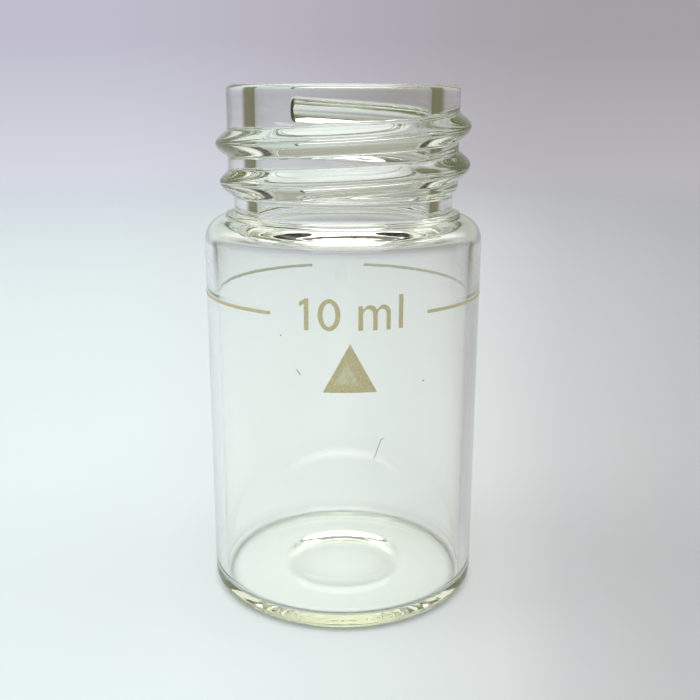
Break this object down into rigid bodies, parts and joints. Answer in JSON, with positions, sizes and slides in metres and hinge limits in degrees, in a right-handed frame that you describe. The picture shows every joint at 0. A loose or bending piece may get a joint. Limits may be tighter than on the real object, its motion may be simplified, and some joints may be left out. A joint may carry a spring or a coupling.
{
  "type": "sample vial",
  "caption": "Small clear glass sample vial with a screw-thread neck, open mouth, printed fill line and index triangle.",
  "frame": {"origin": "centre of the foot, on the plane the vial stands on", "axes": "+Z along the vial's axis towards the mouth, -Y the side that carries the index triangle and the gap in the fill line"},
  "size_m": [0.024, 0.024, 0.0445],
  "materials": {
    "glass": "clear, fire-polished",
    "enamel": "fired enamel ink, matt"
  },
  "bodies": {
    "root": {"glass_vial": "glass", "fill_line_left": "enamel", "fill_line_right": "enamel", "index_triangle": "enamel"}
  },
  "joints": []
}
